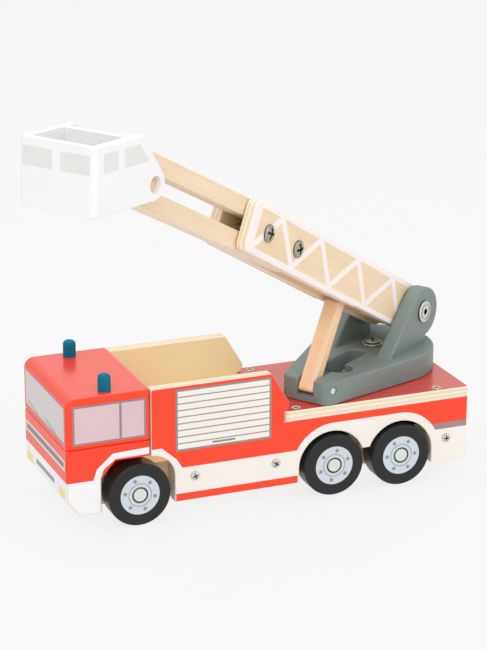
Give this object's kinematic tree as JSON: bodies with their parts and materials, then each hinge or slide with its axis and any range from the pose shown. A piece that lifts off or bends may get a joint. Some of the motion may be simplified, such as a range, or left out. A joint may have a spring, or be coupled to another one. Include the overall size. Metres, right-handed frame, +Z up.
{
  "type": "toy fire engine",
  "caption": "Wooden toy fire engine with an open bay and rolling wheels, carrying a turning, rising and sliding ladder with a prop and a tilting rescue basket.",
  "frame": {"origin": "middle of the chassis board's flat underside, half way along the truck", "axes": "the truck faces -X, its left side is -Y, +Z is up; the ladder is stored raised and turned 34 degrees to the left"},
  "size_m": [0.337, 0.2501, 0.284],
  "materials": {
    "red_paint": "semi-gloss paint on wood",
    "raw_ply": "sanded birch plywood, clear lacquer",
    "grey_paint": "satin paint on wood",
    "black_paint": "satin paint on wood",
    "teal_paint": "semi-gloss paint on wood",
    "white_paint": "satin paint on wood",
    "beech": "sanded beech",
    "steel": "zinc-plated steel"
  },
  "bodies": {
    "truck": {"chassis_board": "raw_ply", "cab_lower": "red_paint", "cab_upper": "red_paint", "cab_dowels": "beech", "beacon_left": "teal_paint", "beacon_right": "teal_paint", "side_panel_left": "red_paint", "side_panel_right": "red_paint", "deck_plate": "red_paint", "bay_bulkhead": "raw_ply", "rear_block": "red_paint", "side_screws_left": "steel", "side_screws_right": "steel", "deck_screws": "steel", "turntable_bolt": "steel", "turntable_nut": "steel"},
    "turntable": {"turntable_base": "grey_paint", "ear_left": "grey_paint", "ear_right": "grey_paint", "boom_pivot_bolt": "steel", "boom_pivot_nut": "steel", "tail_bolt": "steel", "tail_washer": "steel", "prop_pin": "steel"},
    "prop_arm": {"prop": "beech"},
    "boom": {"boom_plate_left": "raw_ply", "boom_plate_right": "raw_ply", "boom_spacer": "beech", "guide_bolts": "steel", "guide_nuts": "steel"},
    "extension": {"extension_board": "raw_ply"},
    "basket": {"basket_cheek_left": "white_paint", "basket_cheek_right": "white_paint", "basket_front_wall": "white_paint", "basket_rear_wall": "white_paint", "basket_floor": "white_paint", "basket_pin": "beech", "basket_spacers": "beech"},
    "front_wheels": {"axle_front": "beech", "wheel_front_left": "black_paint", "wheel_front_right": "black_paint"},
    "middle_wheels": {"axle_middle": "beech", "wheel_middle_left": "black_paint", "wheel_middle_right": "black_paint"},
    "rear_wheels": {"axle_rear": "beech", "wheel_rear_left": "black_paint", "wheel_rear_right": "black_paint"}
  },
  "joints": [
    {"name": "front_axle_spin", "type": "hinge", "parent": "truck", "child": "front_wheels", "pos_m": [-0.0905, 0, 0.01], "axis": [0, 1, 0], "continuous": true},
    {"name": "middle_axle_spin", "type": "hinge", "parent": "truck", "child": "middle_wheels", "pos_m": [0.0415, 0, 0.01], "axis": [0, 1, 0], "continuous": true},
    {"name": "rear_axle_spin", "type": "hinge", "parent": "truck", "child": "rear_wheels", "pos_m": [0.0889, 0, 0.01], "axis": [0, 1, 0], "continuous": true},
    {"name": "turntable_turn", "type": "hinge", "parent": "truck", "child": "turntable", "pos_m": [0.0727, 0, 0.0506], "axis": [0, 0, 1], "continuous": true},
    {"name": "boom_pitch", "type": "hinge", "parent": "turntable", "child": "boom", "pos_m": [0.11324, 0.02735, 0.0876], "axis": [-0.5592, 0.829, 0], "range_deg": [-20.5, 10]},
    {"name": "prop_fold", "type": "hinge", "parent": "turntable", "child": "prop_arm", "pos_m": [0.03092, -0.02818, 0.0601], "axis": [-0.5592, 0.829, 0], "range_deg": [-28.6, 58.5]},
    {"name": "ladder_extend", "type": "slide", "parent": "boom", "child": "extension", "axis": [-0.7387, -0.4982, 0.454], "range_m": [-0.06, 0]},
    {"name": "basket_tilt", "type": "hinge", "parent": "extension", "child": "basket", "pos_m": [-0.13533, -0.14032, 0.24192], "axis": [-0.5592, 0.829, 0], "range_deg": [-20, 20]}
  ],
  "couplings": [
    {"joint": "prop_fold", "follows": "boom_pitch", "ratio": -2.85}
  ]
}
